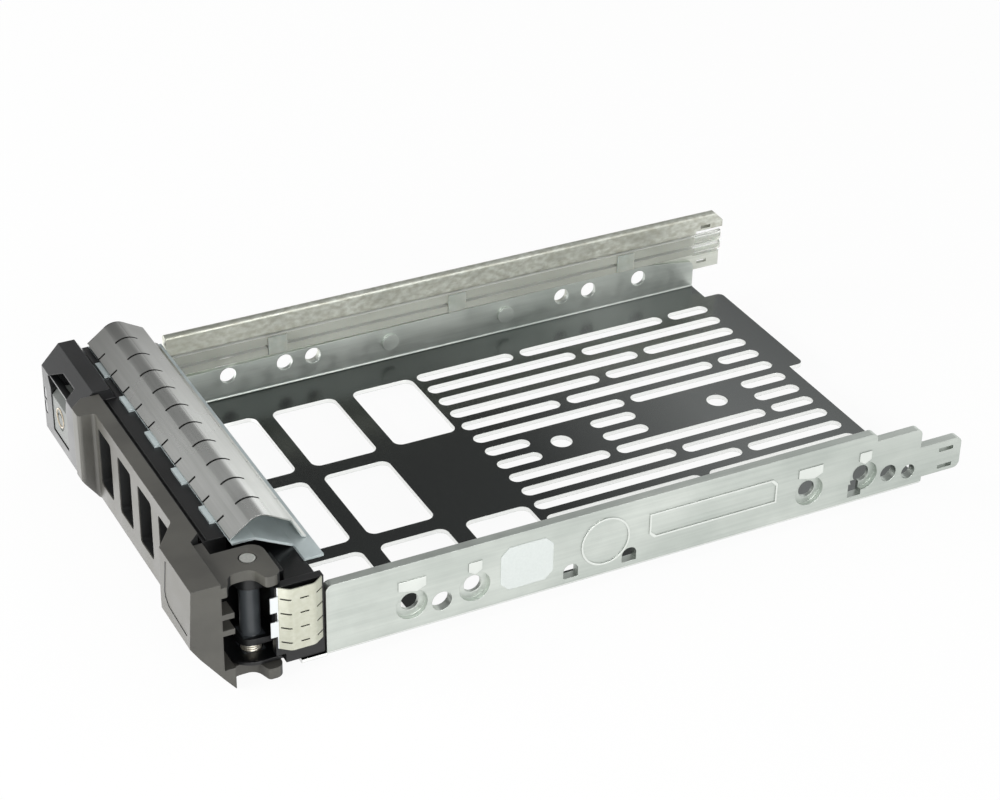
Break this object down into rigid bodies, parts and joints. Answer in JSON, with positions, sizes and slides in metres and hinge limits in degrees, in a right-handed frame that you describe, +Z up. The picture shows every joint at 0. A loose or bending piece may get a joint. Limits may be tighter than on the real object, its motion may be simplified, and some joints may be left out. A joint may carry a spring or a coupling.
{
  "type": "hot swap drive caddy",
  "caption": "Hot swap caddy for a 3.5 inch drive: folded steel tray with slotted floor, black front bezel with a grey lever handle, release button and spring strips",
  "frame": {"origin": "centre of the bounding box in X and Y, on the plane the caddy stands on", "axes": "+X to the side with the handle's hinge, +Y to the rear, +Z up"},
  "size_m": [0.1096, 0.1948, 0.0306],
  "materials": {
    "zinc_steel": "satin",
    "nickel_strip": "bright rolled",
    "steel_pin": "satin",
    "clear_acrylic": "polished",
    "smoked_window": "gloss",
    "black_plastic": "fine grain",
    "grey_plastic": "painted satin",
    "grey_button": "satin",
    "white_paper": "matte"
  },
  "bodies": {
    "caddy": {"tray": "zinc_steel", "side_rail": "zinc_steel", "light_pipe_upper": "clear_acrylic", "light_pipe_lower": "clear_acrylic", "pipe_clips": "clear_acrylic", "bezel_frame": "black_plastic", "status_window_upper": "smoked_window", "status_window_lower": "smoked_window", "torsion_spring": "steel_pin", "shield_plate": "nickel_strip", "top_gasket": "nickel_strip", "side_gasket": "nickel_strip", "label": "white_paper", "bezel_rivets": "steel_pin", "rail_rivets": "steel_pin"},
    "handle": {"handle": "grey_plastic", "handle_pin": "steel_pin", "pin_clip": "steel_pin"},
    "button": {"release_button": "grey_button"}
  },
  "joints": [
    {"name": "handle_hinge", "type": "hinge", "parent": "caddy", "child": "handle", "pos_m": [0.0442, -0.0809, 0.0138], "axis": [0, 0, 1], "range_deg": [0, 50]},
    {"name": "button_slide", "type": "slide", "parent": "caddy", "child": "button", "axis": [0, 1, 0], "range_m": [0, 0.002], "stiffness_N_per_m": 500}
  ]
}
